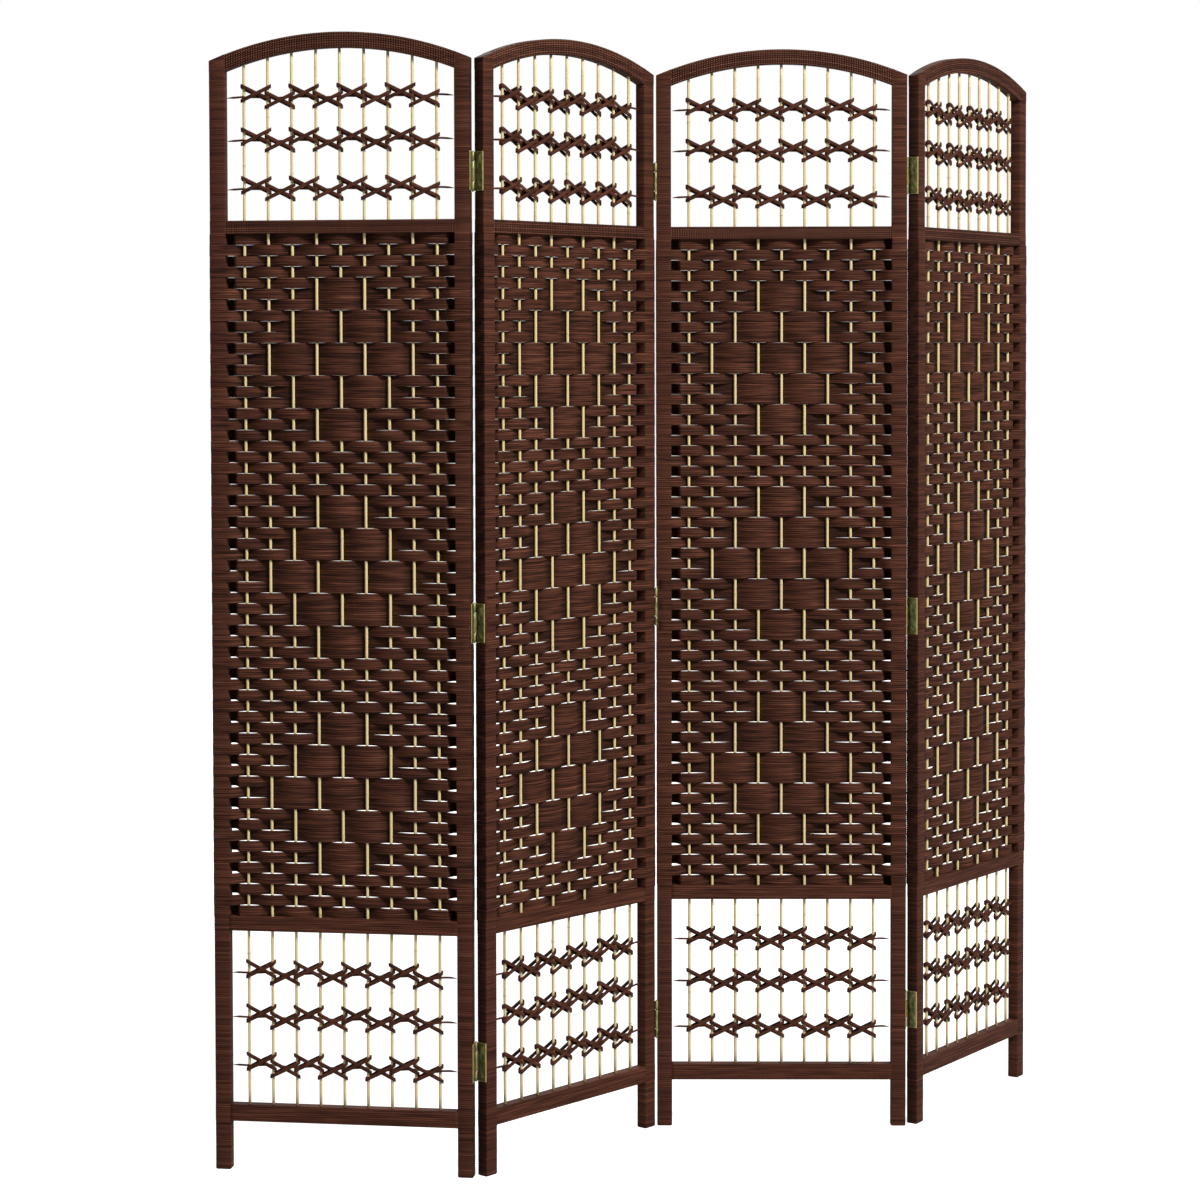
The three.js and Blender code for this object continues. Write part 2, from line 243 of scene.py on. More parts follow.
# %% Set the sky
SKY_LIGHT = 0.13
SKY_WHITE = 1.0
sky = bpy.data.worlds.new("sky")
scene.world = sky
sky_tree = emptied_tree(sky)
dim_sky = shader_node(sky_tree, "ShaderNodeBackground", SKY_LIGHT)
white_sky = shader_node(sky_tree, "ShaderNodeBackground", SKY_WHITE)
sky_end = sky_tree.nodes.new("ShaderNodeOutputWorld")
sky_mix = mixed(sky_tree, seen_directly(sky_tree), dim_sky, white_sky)
sky_tree.links.new(sky_mix, sky_end.inputs["Surface"])
print("the sky lights with", SKY_LIGHT, "and is seen as", SKY_WHITE)

# %% [markdown]
# ## Sums and colour scales
# Two small helpers serve every material from here on. One does a step of arithmetic between nodes,
# and the other turns an amount from 0 to 1 into a colour. Both could be wired by hand in the node
# editor. As functions, they keep a material's recipe down to a few lines.

# %% Helpers for sums and colour scales
def worked_out(tree, operation, *values):
    """The result of one step of arithmetic on outputs and numbers."""
    step = tree.nodes.new("ShaderNodeMath")
    step.operation = operation
    for socket, value in zip(step.inputs, values):
        if isinstance(value, (int, float)):
            socket.default_value = value
        else:
            tree.links.new(value, socket)
    return step.outputs[0]


def colour_steps(tree, amount, steps):
    """Colours along a scale from 0 to 1."""
    ramp = tree.nodes.new("ShaderNodeValToRGB")
    elements = ramp.color_ramp.elements
    while len(elements) < len(steps):
        elements.new(0.5)
    for element, (place, colour) in zip(elements, steps):
        element.position = place
        element.color = (*colour, 1)
    tree.links.new(amount, ramp.inputs["Fac"])
    return ramp.outputs["Color"]


# %% [markdown]
# ## Floor
# The floor is a very large pale sheet, so that its edge never shows. It keeps the screen's soft
# shadow, and a glow of its own, seen by the camera alone, carries it to the white of the sky. The
# glow is a little weaker round the feet, where it would wash the shadow out, and full far away,
# where floor and sky have to meet without a horizon.

# %% Lay the floor
FLOOR_HALF = 40.0
FLOOR_COLOUR = (0.5, 0.5, 0.5, 1)
GLOW_REACH = 4.0
GLOW_STEPS = ((0.25, (0.9, 0.9, 0.9)), (1.0, (1.0, 1.0, 1.0)))

floor_mesh = bpy.data.meshes.new("floor")
corners = [(x * FLOOR_HALF, y * FLOOR_HALF, 0) for x, y in ((-1, -1), (1, -1), (1, 1), (-1, 1))]
floor_mesh.from_pydata(corners, [], [(0, 1, 2, 3)])
floor = bpy.data.objects.new("floor", floor_mesh)
scene.collection.objects.link(floor)
floor_look = bpy.data.materials.new("white_floor")
floor_tree = emptied_tree(floor_look)
matt = shader_node(floor_tree, "ShaderNodeBsdfDiffuse", None, FLOOR_COLOUR)
glow = floor_tree.nodes.new("ShaderNodeEmission")
floor_place = floor_tree.nodes.new("ShaderNodeTexCoord")
away = floor_tree.nodes.new("ShaderNodeVectorMath")
away.operation = "LENGTH"
floor_tree.links.new(floor_place.outputs["Object"], away.inputs[0])
part_way = worked_out(floor_tree, "MULTIPLY", away.outputs["Value"], 1 / GLOW_REACH)
floor_tree.links.new(colour_steps(floor_tree, part_way, GLOW_STEPS), glow.inputs["Color"])
both = floor_tree.nodes.new("ShaderNodeAddShader")
floor_tree.links.new(matt, both.inputs[0])
floor_tree.links.new(glow.outputs[0], both.inputs[1])
floor_end = floor_tree.nodes.new("ShaderNodeOutputMaterial")
floor_mix = mixed(floor_tree, seen_directly(floor_tree), matt, both.outputs[0])
floor_tree.links.new(floor_mix, floor_end.inputs["Surface"])
floor_mesh.materials.append(floor_look)
print("floor:", 2 * FLOOR_HALF, "m wide, in full glow from", GLOW_REACH, "m on")

# %% [markdown]
# ## From rings to meshes
# Nearly everything on this screen is a long thin thing: a strip, a cord, a cane, a wound bar. So
# one helper does most of the work. It takes rings of points, one ring after the other along the
# piece, and joins neighbouring rings with four-sided faces. Each ring can have its own shape, which
# is how a strip bends and a winding bulges, and no modifier could know the pattern of the weave.
# Each point also carries a tone, a number from 0 to 1 that the materials read, because no two
# strands of dyed paper come out equally dark. The tone also carries painted shade, in grooves, dips
# and other hollows.

# %% Join rings of points
dice = np.random.default_rng(63)


def skin(rings, closed=False):
    """The points and faces of a tube through rings, given as an array (rings, points, 3)."""
    count, around = rings.shape[:2]
    first = np.arange(count if closed else count - 1)[:, None] * around
    here = np.arange(around)[None, :]
    beside = (here + 1) % around
    following = (first + around) % (count * around)
    quads = np.stack([first + here, first + beside, following + beside, following + here], axis=-1)
    faces = quads.reshape(-1, 4)
    points = rings.reshape(-1, 3)
    a, b, c, d = (points[faces[:, corner]] for corner in range(4))
    inside_out = np.einsum("ij,ij->i", a, np.cross(b, c) + np.cross(c, d)).sum() < 0
    caps = []
    if not closed:
        last = (count - 1) * around
        caps = [list(range(around))[::-1], list(range(last, last + around))]
    if inside_out:
        faces = faces[:, ::-1]
        caps = [cap[::-1] for cap in caps]
    return points, faces.tolist() + caps


def gather(parts):
    """Several (points, faces, tones) as one."""
    points, faces, tones, used = [], [], [], 0
    for part_points, part_faces, part_tones in parts:
        points.append(part_points)
        tones.append(part_tones)
        faces.extend([[corner + used for corner in face] for face in part_faces])
        used += len(part_points)
    return np.concatenate(points), faces, np.concatenate(tones)


trial_tube = np.array([[(0, 0, z), (1, 0, z), (1, 1, z), (0, 1, z)] for z in range(3)], dtype=float)
print("faces of a tube through three square rings:", len(skin(trial_tube)[1]))

# %% [markdown]
# A piece becomes a mesh object in its place, with two numbers at each point for its material: its
# tone, and the lot of paper that its leaf was made from. It then rides on the body of its leaf, so
# that it folds with it, and stands for the solids that it covers. That is the same for every piece,
# so it is written once.

# %% Turn points and faces into a piece
LOT_STEP = 3.7


def make_piece(name, place, body, look, nodes, part):
    """A mesh object in its place, which rides on a body and stands for solids."""
    points, faces, tones = part
    mesh = bpy.data.meshes.new(name)
    mesh.from_pydata((points * MM).tolist(), [], faces)
    lots = np.full(len(points), LOT_STEP * int(body[-1]))
    for attribute_name, values in (("tone", tones), ("lot", lots)):
        mesh.attributes.new(attribute_name, "FLOAT", "POINT").data.foreach_set("value", values)
    mesh.shade_smooth()
    mesh.materials.append(look)
    piece = bpy.data.objects.new(name, mesh)
    scene.collection.objects.link(piece)
    piece.matrix_world = place
    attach(piece, body)
    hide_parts(*nodes)
    return piece


def on_leaf(name, leaf, look, node, part):
    """A piece drawn in a leaf's own coordinates."""
    body = f"panel_{leaf}"
    return make_piece(f"leaf_{leaf}_{name}", PLACES[leaf], body, look, [f"{body}_{node}"], part)


# %% [markdown]
# ## The dyed fibre
# The frame is wound, and the strips are laid, with cord twisted from brown paper. Dye takes it
# unevenly, so the cords run from almost black to a warm reddish brown. The material reads three
# things: the tone of each strand, a number for each leaf's lot of paper, which keeps the leaves from
# being copies, and a noise that is stretched along the strand, which gives the long thin streaks of
# twisted paper. A second, finer noise is the relief of the paper's fibres.

# %% Helpers for node materials
def new_look(name):
    """A node material, its tree and its shader."""
    look = bpy.data.materials.new(name)
    look.use_nodes = True
    return look, look.node_tree, look.node_tree.nodes["Principled BSDF"]


def attribute(tree, name):
    reader = tree.nodes.new("ShaderNodeAttribute")
    reader.attribute_name = name
    return reader.outputs["Fac"]


def stretched_noise(tree, scale, detail=2.0, distortion=0.0):
    """Noise in a piece's own coordinates, with its own scale along each axis, per metre."""
    coordinates = tree.nodes.new("ShaderNodeTexCoord")
    stretch = tree.nodes.new("ShaderNodeMapping")
    stretch.inputs["Scale"].default_value = scale
    noise = tree.nodes.new("ShaderNodeTexNoise")
    noise.noise_dimensions = "4D"
    noise.inputs["Scale"].default_value = 1.0
    noise.inputs["Detail"].default_value = detail
    noise.inputs["Distortion"].default_value = distortion
    tree.links.new(coordinates.outputs["Object"], stretch.inputs["Vector"])
    tree.links.new(stretch.outputs["Vector"], noise.inputs["Vector"])
    tree.links.new(attribute(tree, "lot"), noise.inputs["W"])
    return noise.outputs["Fac"]


def weighted(tree, base, terms):
    """A base number plus each (output, weight), where an output counts from its middle, 0.5."""
    total = base - 0.5 * sum(weight for _, weight in terms)
    for output, weight in terms:
        total = worked_out(tree, "MULTIPLY_ADD", output, weight, total)
    return total


def relief(tree, shader, height, depth):
    """Small relief, depth metres from lowest to highest."""
    bump = tree.nodes.new("ShaderNodeBump")
    bump.inputs["Distance"].default_value = depth
    tree.links.new(height, bump.inputs["Height"])
    tree.links.new(bump.outputs["Normal"], shader.inputs["Normal"])


# %% [markdown]
# Four finishes of the fibre come from one recipe. They differ in how fine and how strong the streaks
# are, in how much a strand's tone counts, and in whether streaks also run upright, as on the rails
# that are bound both ways. A picture of real paper would do on one strip, but it would repeat over
# 252 of them, and noise doesn't.

# %% Make the fibre materials
FIBRE_STEPS = (
    (0.0, (0.0035, 0.0016, 0.0012)),
    (0.3, (0.021, 0.0072, 0.0042)),
    (0.55, (0.060, 0.0200, 0.0115)),
    (0.8, (0.115, 0.0400, 0.0230)),
    (1.0, (0.210, 0.0850, 0.0520)),
)
FIBRE_MIDDLE = 0.52
FIBRE_ROUGHNESS = 0.75
FIBRE_SHINE = 0.06
STREAK_DETAIL = 3.0
TWIST = (60, 60, 1500)
TWIST_RELIEF = 0.0006


def fibre_look(name, streaks, contrast, tone_weight, upright=0.0, wave=0.0):
    """Twisted paper. The largest scale of the streaks is the direction across the strands."""
    look, tree, shader = new_look(name)
    streak = stretched_noise(tree, streaks, STREAK_DETAIL, wave)
    terms = [(attribute(tree, "tone"), tone_weight), (streak, contrast)]
    if upright:
        terms.append((stretched_noise(tree, streaks[::-1]), upright))
    amount = weighted(tree, FIBRE_MIDDLE, terms)
    tree.links.new(colour_steps(tree, amount, FIBRE_STEPS), shader.inputs["Base Color"])
    shader.inputs["Roughness"].default_value = FIBRE_ROUGHNESS
    shader.inputs["Specular IOR Level"].default_value = FIBRE_SHINE
    relief(tree, shader, stretched_noise(tree, TWIST, STREAK_DETAIL), TWIST_RELIEF)
    return look


wound_look = fibre_look("wound_fibre", (9, 9, 310), contrast=0.9, tone_weight=0.35)
crossed_look = fibre_look("crossed_fibre", (9, 9, 260), contrast=0.6, tone_weight=0.9, upright=0.3)
laid_look = fibre_look("laid_fibre", (14, 14, 360), contrast=1.0, tone_weight=0.4, wave=0.3)
strip_look = fibre_look("woven_strips", (17, 17, 440), contrast=1.4, tone_weight=0.5)
for look in (wound_look, crossed_look, laid_look, strip_look):
    print(look.name, "has", len(look.node_tree.nodes), "nodes")

# %% [markdown]
# ## Bamboo
# The canes are split and rounded bamboo, left pale. The grain runs along them, so the noise is
# stretched upwards, and the tone that each point carries darkens the rings at the nodes. Dark bands
# painted on by height would be as easy, but then all nine canes would have them in line.

# %% Make the bamboo material
BAMBOO_STEPS = (
    (0.0, (0.63, 0.51, 0.26)),
    (0.5, (0.52, 0.395, 0.18)),
    (1.0, (0.22, 0.14, 0.05)),
)
BAMBOO_MIDDLE = 0.6
BAMBOO_ROUGHNESS = 0.45
BAMBOO_SHINE = 0.3
GRAIN = (700, 700, 14)
GRAIN_DETAIL = 3.0
GRAIN_WEIGHT, RING_WEIGHT = 0.8, 0.8
GRAIN_RELIEF = 0.0002

bamboo_look, bamboo_tree, bamboo_shader = new_look("pale_bamboo")
grain = stretched_noise(bamboo_tree, GRAIN, GRAIN_DETAIL)
bamboo_terms = [(attribute(bamboo_tree, "tone"), RING_WEIGHT), (grain, GRAIN_WEIGHT)]
shade = weighted(bamboo_tree, BAMBOO_MIDDLE, bamboo_terms)
bamboo_tree.links.new(colour_steps(bamboo_tree, shade, BAMBOO_STEPS), bamboo_shader.inputs["Base Color"])
bamboo_shader.inputs["Roughness"].default_value = BAMBOO_ROUGHNESS
bamboo_shader.inputs["Specular IOR Level"].default_value = BAMBOO_SHINE
relief(bamboo_tree, bamboo_shader, grain, GRAIN_RELIEF)
print(bamboo_look.name, "has", len(bamboo_tree.nodes), "nodes")

# %% [markdown]
# ## Stiles
# A stile is a square bar wound with cord from its foot to the arch. We could wrap a bar with a
# spiral curve, but a turn every three millimetres on eight bars would be a very heavy mesh. Rings
# that are in turn full and drawn in give the same ridges at a tenth of the cost. Beside the woven
# field the winding is thicker, level with the strips that go round the stile, except on the edge
# where a hinge plate lies. A bar is rounded along its corners, but sharp where a rail meets it,
# which keeps the joint closed.

# %% Measure the windings
ROW_COUNT = 63
ROW_HEIGHT = (MAT_TOP - MAT_BASE) / ROW_COUNT
CORDS_PER_ROW = 5
CORD_PITCH = ROW_HEIGHT / CORDS_PER_ROW
CORD_DEPTH = 0.3
CORNER_RADIUS = 0.9
RAIL_RADIUS = 0.15
INNER_PROUD = 0.4
EDGE_PROUD = 0.8
FIELD_PROUD = 1.15
# The groove tone is painted shade between two cords, and the edge tone is painted shade that makes the outer
# edges nearly black.
PAINTED_GROOVE_SHADE = 0.12
CORD_SPREAD = 0.6
PAINTED_EDGE_SHADE = 0.0
ARCH_RADIUS = (LEAF_WIDTH**2 / 4 + ARCH_RISE**2) / (2 * ARCH_RISE)
ARCH_CENTRE_Z = LEAF_HEIGHT - ARCH_RADIUS
HINGE_LEVELS = ("lower", "middle", "upper")


def arch_height(x, inset=0.0):
    """The height of the arch's outer line over x, or of a line inset below it."""
    return ARCH_CENTRE_Z + np.sqrt((ARCH_RADIUS - inset) ** 2 - (x - LEAF_WIDTH / 2) ** 2)


def rounded_section(width, depth, radius, steps=3):
    """The outline of a rounded rectangle about its middle."""
    points = []
    for quarter, (across, along) in enumerate(((1, 1), (-1, 1), (-1, -1), (1, -1))):
        for step in range(steps):
            angle = math.pi / 2 * (quarter + step / (steps - 1))
            points.append((
                across * (width / 2 - radius) + radius * math.cos(angle),
                along * (depth / 2 - radius) + radius * math.sin(angle),
            ))
    return np.array(points)


RAIL_SPANS = (
    (FOOT_HEIGHT, BOTTOM_RAIL_TOP),
    (LOWER_RAIL_BASE, MAT_BASE),
    (MAT_TOP, UPPER_RAIL_TOP),
    (arch_height(STILE_WIDTH, ARCH_DEPTH), LEAF_HEIGHT),
)
print("cords are", round(CORD_PITCH, 2), "mm apart, and the arch's radius is", round(ARCH_RADIUS, 1))

# %% [markdown]
# The cord's turns are not equally dark, and the groove between two of them is painted darker than
# either, as painted shade. The outer edges are painted nearly black, as painted shade. Near the top
# the rings lean over step by step, so that the last one lies along the arch. Cutting the bar's end
# off along the arch would be quicker, but the cut would show as a bare face with no winding on it.

# %% Wind the stiles
LEAN_LENGTH = 60
FOOT_CHAMFER = 1.5
NEAR_OUTERMOST = 0.99


def cord_tones(count, spread):
    """Tones of a row of cords, each unequally dark, with painted shade for a groove at every even place."""
    tones = 1 - spread * dice.random(count)
    tones[::2] = PAINTED_GROOVE_SHADE
    return tones


def hinge_spans(leaf, at_right):
    """From where to where the hinges reach up one edge of a leaf. A free edge has none."""
    left = leaf if at_right else leaf - 1
    if left not in LEAVES[:-1]:
        return []
    return [span_of(f"hinge_{left}_{left + 1}_{level}_pin") for level in HINGE_LEVELS]


def wound_stile(leaf, at_right):
    """A stile from its foot up, with one ridge for each turn of cord."""
    left_edge = LEAF_WIDTH - STILE_WIDTH if at_right else 0.0
    half_turns = int(round(2 * arch_height(left_edge + STILE_WIDTH) / CORD_PITCH))
    heights = np.linspace(0, arch_height(0.0), half_turns)
    lean_start = LEAF_HEIGHT - ARCH_RISE - LEAN_LENGTH
    hinges = hinge_spans(leaf, at_right)
    rings = []
    for index, height in enumerate(heights):
        proud = FIELD_PROUD if MAT_BASE < height < MAT_TOP else 0.0
        under_plate = any(low < height < high for low, high in hinges)
        outer = 0.0 if under_plate else max(proud, EDGE_PROUD)
        inset = CORD_DEPTH * (index % 2 == 0)
        if height < FOOT_CHAMFER:
            inset = FOOT_CHAMFER
        at_rail = any(low <= height <= high for low, high in RAIL_SPANS)
        width = STILE_WIDTH + outer + INNER_PROUD - 2 * inset
        depth = THICKNESS + 2 * proud - 2 * inset
        section = rounded_section(width, depth, RAIL_RADIUS if at_rail else CORNER_RADIUS)
        aside = (outer - INNER_PROUD) / 2
        x = left_edge + STILE_WIDTH / 2 + (aside if at_right else -aside) + section[:, 0]
        lean = max(0.0, (height - lean_start) / (heights[-1] - lean_start))
        z = height + lean * (arch_height(x) - heights[-1])
        rings.append(np.stack([x, MIDDLE_Y + section[:, 1], z], axis=1))
    points, faces = skin(np.array(rings))
    outward = section[:, 0] if at_right else -section[:, 0]
    # Painted shade: the points on the stile's outer edge get the nearly black edge tone.
    seen = np.where(outward > NEAR_OUTERMOST * outward.max(), PAINTED_EDGE_SHADE, 1.0)
    return points, faces, (cord_tones(half_turns, CORD_SPREAD)[:, None] * seen).ravel()


for leaf in LEAVES:
    for side in ("left", "right"):
        wound = wound_stile(leaf, side == "right")
        stile = on_leaf(f"{side}_stile", leaf, wound_look, f"stile_{side}", wound)
print("faces of a stile:", len(stile.data.polygons))

# %% [markdown]
# ## Rails
# The arch and the rail under it are bound twice: with cord laid along them, and with a finer one
# wound over it, which leaves an even grid. The two lower rails are only faced with cord laid along
# them. Both come from the same rings: the points of a ring are in turn full and drawn in for the
# laid cords, and on a bound rail every other ring is drawn in as well. A relief map of the grid
# would be lighter, but the arch's outline would stay smooth, and it is bumpy on the real one.

# %% Measure the binding
RAIL_START = STILE_WIDTH - CORNER_RADIUS
RAIL_LENGTH = LEAF_WIDTH - 2 * RAIL_START
WINDING_PITCH = 3.7
WINDING_DEPTH = 0.3
# The first of the winding tones is painted shade in the grooves between turns of the finer cord, the second
# is the tone of its crests.
WINDING_GROOVE_SHADE_AND_CREST_TONES = (0.1, 1.5)
LAID_STATIONS = 60
RAIL_SPREAD = 0.45


def cords_over(span):
    """Where the ridges and grooves of cords lie over a face's middle, and how deep they are."""
    count = 2 * round(span / CORD_PITCH)
    return np.linspace(-0.5, 0.5, count + 1)[:-1], CORD_DEPTH * (np.arange(count) % 2 == 0)


print("ridges over the front of a rail:", len(cords_over(UPPER_RAIL_TOP - MAT_TOP)[0]) // 2)


# %% Bind the rails
def faced_beam(under, over, wound):
    """A beam between the stiles, from one height over x to another, faced with laid cords."""
    stations = 2 * round(RAIL_LENGTH / WINDING_PITCH) if wound else LAID_STATIONS
    x = np.linspace(RAIL_START, RAIL_START + RAIL_LENGTH, stations)
    height = (over(x) - under(x)) * np.ones(stations)
    z_part, z_groove = cords_over(height.mean())
    y_part, y_groove = cords_over(THICKNESS)
    y = np.concatenate([z_groove - THICKNESS / 2, y_part * THICKNESS])
    y = np.concatenate([y, -y])
    share = np.concatenate([z_part, np.full(len(y_part), 0.5)])
    drop = np.concatenate([np.zeros(len(z_part)), -y_groove])
    share, drop = np.concatenate([share, -share]), np.concatenate([drop, -drop])
    inset = WINDING_DEPTH * (np.arange(stations) % 2 == 0) * wound
    rings = np.empty((stations, len(y), 3))
    rings[:, :, 0] = x[:, None]
    rings[:, :, 1] = MIDDLE_Y + y * (1 - 2 * inset[:, None] / THICKNESS)
    rings[:, :, 2] = ((over(x) + under(x)) / 2 * np.ones(stations))[:, None] + drop
    rings[:, :, 2] += share * (height - 2 * inset)[:, None]
    points, faces = skin(rings)
    # Painted shade: the drawn-in rings of a bound rail are darkened as grooves, and the grooves across the
    # laid cords take the groove tone.
    over_ring = np.where(inset > 0, *WINDING_GROOVE_SHADE_AND_CREST_TONES) if wound else np.ones(stations)
    return points, faces, (over_ring[:, None] * cord_tones(len(y), RAIL_SPREAD)).ravel()


for leaf in LEAVES:
    arch = faced_beam(lambda x: arch_height(x, ARCH_DEPTH), arch_height, True)
    on_leaf("arch_rail", leaf, crossed_look, "arch_rail", arch)
    upper = faced_beam(lambda x: MAT_TOP, lambda x: UPPER_RAIL_TOP, True)
    on_leaf("upper_rail", leaf, crossed_look, "upper_rail", upper)
    lower = faced_beam(lambda x: LOWER_RAIL_BASE, lambda x: MAT_BASE, False)
    on_leaf("lower_rail", leaf, laid_look, "lower_rail", lower)
    bottom = faced_beam(lambda x: FOOT_HEIGHT, lambda x: BOTTOM_RAIL_TOP, False)
    on_leaf("bottom_rail", leaf, laid_look, "bottom_rail", bottom)
print("points of an arch:", len(arch[0]), "and of a lower rail:", len(lower[0]))

# %% [markdown]
# ## Canes
# Nine canes stand in each leaf, from the bottom rail to the arch. Bamboo swells at its nodes, with
# a dark ring there, and no two canes have their nodes at the same height. A plain cylinder would be
# too straight and too even, so each cane is a tube of rings that sways a little, with the rings
# closer together where a node needs them.

# %% Grow the canes
CANE_SIDES = 12
NODE_SPACING = (150, 260)
FIRST_NODE = 20
NODE_SWELL = 0.25
NODE_LENGTH = 2.2
NODE_PROFILE = np.array([-2.3, -1.1, -0.5, -0.2, 0.2, 0.5, 1.1, 2.3])
NODE_RING = 0.9
RING_SPACING = 30.0
RING_TONE = 0.6
CANE_TONE_RANGE = 0.15
UNEVENNESS, UNEVEN_LENGTH = 0.02, 41
SWAY, SWAY_LENGTH = 0.25, 173
SOCKET = 6.0


def cane_x(number):
    """The place of cane 1 to 9 across the leaf."""
    return LEAF_WIDTH / 2 + (number - (CANE_COUNT + 1) / 2) * CANE_PITCH


def node_heights(base, top):
    heights = [base + dice.uniform(FIRST_NODE, NODE_SPACING[1])]
    while heights[-1] + NODE_SPACING[1] < top:
        heights.append(heights[-1] + dice.uniform(*NODE_SPACING))
    return np.array(heights)


def grow_cane(number):
    base = BOTTOM_RAIL_TOP - SOCKET
    top = arch_height(cane_x(number), ARCH_DEPTH) + SOCKET
    nodes = node_heights(base, top)
    near = nodes[:, None] + NODE_LENGTH * NODE_PROFILE
    heights = np.unique(np.concatenate([np.arange(base, top, RING_SPACING), near.ravel(), [top]]))
    away = np.abs(heights[:, None] - nodes[None, :]).min(axis=1)
    radius = CANE_RADIUS * (1 + UNEVENNESS * np.sin(heights / UNEVEN_LENGTH))
    radius += NODE_SWELL * np.exp(-((away / NODE_LENGTH) ** 2))
    sway = SWAY * np.sin(heights / SWAY_LENGTH + dice.uniform(0, 2 * math.pi))
    angles = np.linspace(0, 2 * math.pi, CANE_SIDES, endpoint=False)
    rings = np.empty((len(heights), CANE_SIDES, 3))
    rings[:, :, 0] = cane_x(number) + sway[:, None] + radius[:, None] * np.cos(angles)
    rings[:, :, 1] = MIDDLE_Y + radius[:, None] * np.sin(angles)
    rings[:, :, 2] = heights[:, None]
    points, faces = skin(rings)
    tone = CANE_TONE_RANGE * dice.random() + RING_TONE * np.exp(-((away / NODE_RING) ** 2))
    return points, faces, np.repeat(tone, CANE_SIDES)


for leaf in LEAVES:
    grown = gather([grow_cane(number) for number in range(1, CANE_COUNT + 1)])
    on_leaf("canes", leaf, bamboo_look, "cane_lattice", grown)
print("points of a leaf's canes:", len(grown[0]))

# %% [markdown]
# ## The weave
# The field is 63 rows of flat strip, each of five cords side by side. A plain row passes in front of
# one cane and behind the next, and its neighbour does the opposite. For the diamonds, three rows at
# a time keep to the same side, so a cane shows for three rows where they all pass behind it.
# The pattern could be a table of 63 rows by nine canes, but a rule is shorter and can't hold a slip:
# a strip's side at each cane follows from its row number.

# %% Decide where each strip runs
FRONT, BACK = -1, 1
DIAMOND_ROWS = 20
FIRST_DIAMOND_ROW = 4
LAST_DIAMOND_ROW = 58
BLOCK_ROWS = 3
DIAMOND_BLOCKS = ((4, 6), (3, 5, 7), (2, 4, 6, 8), (3, 5, 7), (4, 6))


def shown_canes(row):
    """The canes that this row passes behind, so that they show from the front."""
    plain = set(range(2 - row % 2, CANE_COUNT + 1, 2))
    block = (row - FIRST_DIAMOND_ROW) % DIAMOND_ROWS // BLOCK_ROWS
    if not FIRST_DIAMOND_ROW <= row <= LAST_DIAMOND_ROW or block >= len(DIAMOND_BLOCKS):
        return plain
    figure = DIAMOND_BLOCKS[block]
    outside = {cane for cane in plain if not figure[0] <= cane <= figure[-1]}
    return outside | set(figure)


def sides_of(row):
    """The side that a row takes at the left stile, at each cane and at the right stile."""
    shown = shown_canes(row)
    stile = FRONT if row % 2 else BACK
    return np.array([stile, *(BACK if cane in shown else FRONT for cane in range(1, CANE_COUNT + 1)), stile])


print("row 4 passes:", sides_of(4))

# %% [markdown]
# A strip is stiff, so it lies nearly straight over a cane and swings over quickly between two. Where
# the next row does the opposite, it narrows a little and its edge bows back, which opens the small
# lens-shaped gaps of light above and below a cane. Rows that run side by side stay closed. Beside a
# stile, a strip that comes from behind it turns to the front well before the first cane, which
# leaves a small dark pocket in every second row. The first and the last strip are tucked under the
# rail beside them. A plain sine from cane to cane would make the strips look limp.

# %% Draw the line of a strip
STRIP_THICKNESS = 1.2
STRIP_SWING = 4.2
STRIP_BOW = 0.7
STRIP_NARROWING = 0.15
STRIP_OVERLAP = 0.06
BEHIND_RAIL = 1.6
WRAP_THICKNESS = 0.7
WRAP_LIFT = 0.65
TURN_START = 4.5
TURN_END = 16.5
SWING_SHARPNESS = 0.2
STATIONS_PER_SPAN = 9


def swung(start, end):
    """From start to end along a span, level at both ends and quick in the middle."""
    part = np.linspace(0, 1, STATIONS_PER_SPAN, endpoint=False)
    part = part - SWING_SHARPNESS * np.sin(2 * math.pi * part) / (2 * math.pi)
    return start + (end - start) * (1 - np.cos(math.pi * part)) / 2


def face_of_stile(side):
    """How far from the front a strip lies on a stile's front or back."""
    out = WRAP_LIFT + WRAP_THICKNESS / 2
    return -out if side == FRONT else THICKNESS + out


def field_line(row):
    """A row between the stiles: x, y, bow, freedom above and below, and thickness."""
    sides = sides_of(row)
    above = (sides_of(row - 1) if row else sides) != sides
    below = (sides_of(row + 1) if row + 1 < ROW_COUNT else sides) != sides
    stops = [(STILE_WIDTH, face_of_stile(sides[0]), 0, above[0], below[0], WRAP_THICKNESS)]
    for cane in range(1, CANE_COUNT + 1):
        y = MIDDLE_Y + sides[cane] * STRIP_SWING
        stops.append((cane_x(cane), y, sides[cane], above[cane], below[cane], STRIP_THICKNESS))
    stops.append((LEAF_WIDTH - STILE_WIDTH, *stops[0][1:]))
    if sides[0] == BACK:
        turns = (STILE_WIDTH + TURN_START, *stops[0][1:]), (STILE_WIDTH + TURN_END, *stops[1][1:])
        stops[1:1] = turns
        stops[-1:-1] = [(LEAF_WIDTH - x, *rest) for x, *rest in reversed(turns)]
    columns = []
    for here, there in zip(stops, stops[1:]):
        x = np.linspace(here[0], there[0], STATIONS_PER_SPAN, endpoint=False)
        others = [swung(float(a), float(b)) for a, b in zip(here[1:], there[1:])]
        columns.append(np.stack([x, *others], axis=1))
    columns.append(np.array([stops[-1]], dtype=float))
    return np.concatenate(columns)


print("stations along the second row:", len(field_line(1)))

# %% [markdown]
# Across, a strip is five cords side by side: full along the middle of each cord, half as thick in
# the grooves between them and thinner still at its two edges. Five tubes for each strip would be
# 1260 tubes that mostly hide each other, so a strip is one skin with five ridges on either face.

# %% Give a strip its section
GROOVE_FULLNESS = 0.5
RIM_FULLNESS = 0.3


